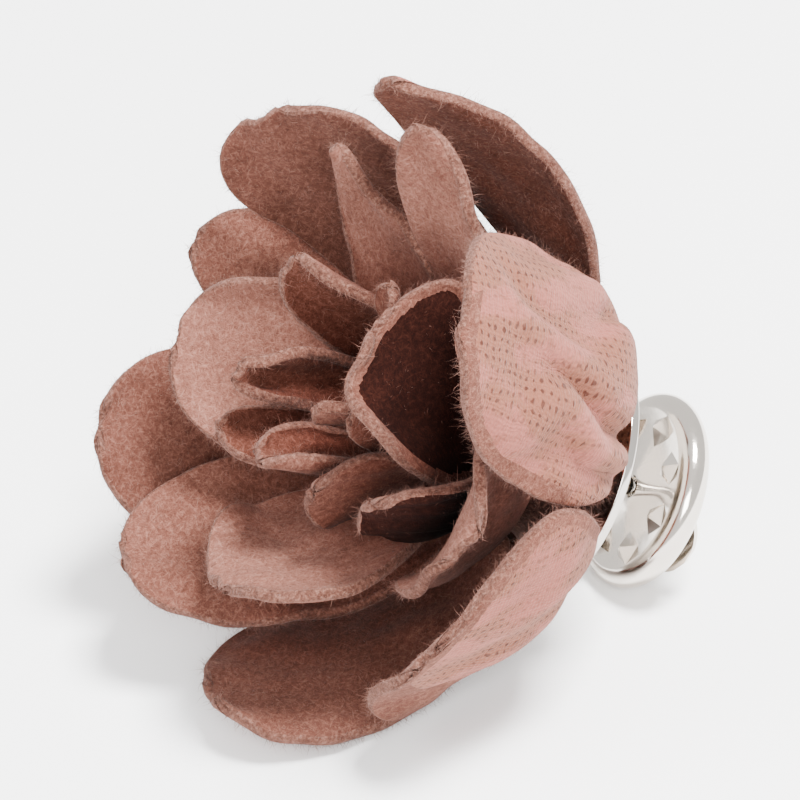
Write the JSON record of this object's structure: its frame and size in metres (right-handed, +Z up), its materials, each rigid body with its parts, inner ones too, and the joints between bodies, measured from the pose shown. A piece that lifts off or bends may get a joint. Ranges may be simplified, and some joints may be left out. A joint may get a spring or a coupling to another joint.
{
  "type": "flower lapel pin",
  "caption": "Layered felt flower on a thin metal disc, with a soldered post behind it and a butterfly clutch that slides off the post.",
  "frame": {"origin": "centre of the bounding box at its base, on the surface that the pin lies on", "axes": "+Z up; the flower's axis lies in the XZ plane and points to -X and up, so the post and clutch point to +X and down"},
  "size_m": [0.0352, 0.0364, 0.0356],
  "materials": {
    "felt": "napped felt, dusty rose brown, with a paler pink woven back",
    "core": "plain felt, glued",
    "pin_metal": "polished, silver colour",
    "clutch_metal": "polished, silver colour"
  },
  "bodies": {
    "flower": {"outer_petal_1": "felt", "outer_petal_2": "felt", "outer_petal_3": "felt", "outer_petal_4": "felt", "outer_petal_5": "felt", "outer_petal_6": "felt", "outer_petal_7": "felt", "outer_petal_8": "felt", "middle_petal_1": "felt", "middle_petal_2": "felt", "middle_petal_3": "felt", "middle_petal_4": "felt", "middle_petal_5": "felt", "middle_petal_6": "felt", "middle_petal_7": "felt", "middle_petal_8": "felt", "inner_petal_1": "felt", "inner_petal_2": "felt", "inner_petal_3": "felt", "inner_petal_4": "felt", "inner_petal_5": "felt", "inner_petal_6": "felt", "inner_petal_7": "felt", "inner_petal_8": "felt", "flower_core": "core", "disc_and_post": "pin_metal"},
    "clutch": {"clutch_cap": "clutch_metal", "clutch_wings": "clutch_metal"}
  },
  "joints": [
    {"name": "clutch_slide", "type": "slide", "parent": "flower", "child": "clutch", "axis": [0.788, 0, -0.6157], "range_m": [-0.004, 0.012]}
  ]
}
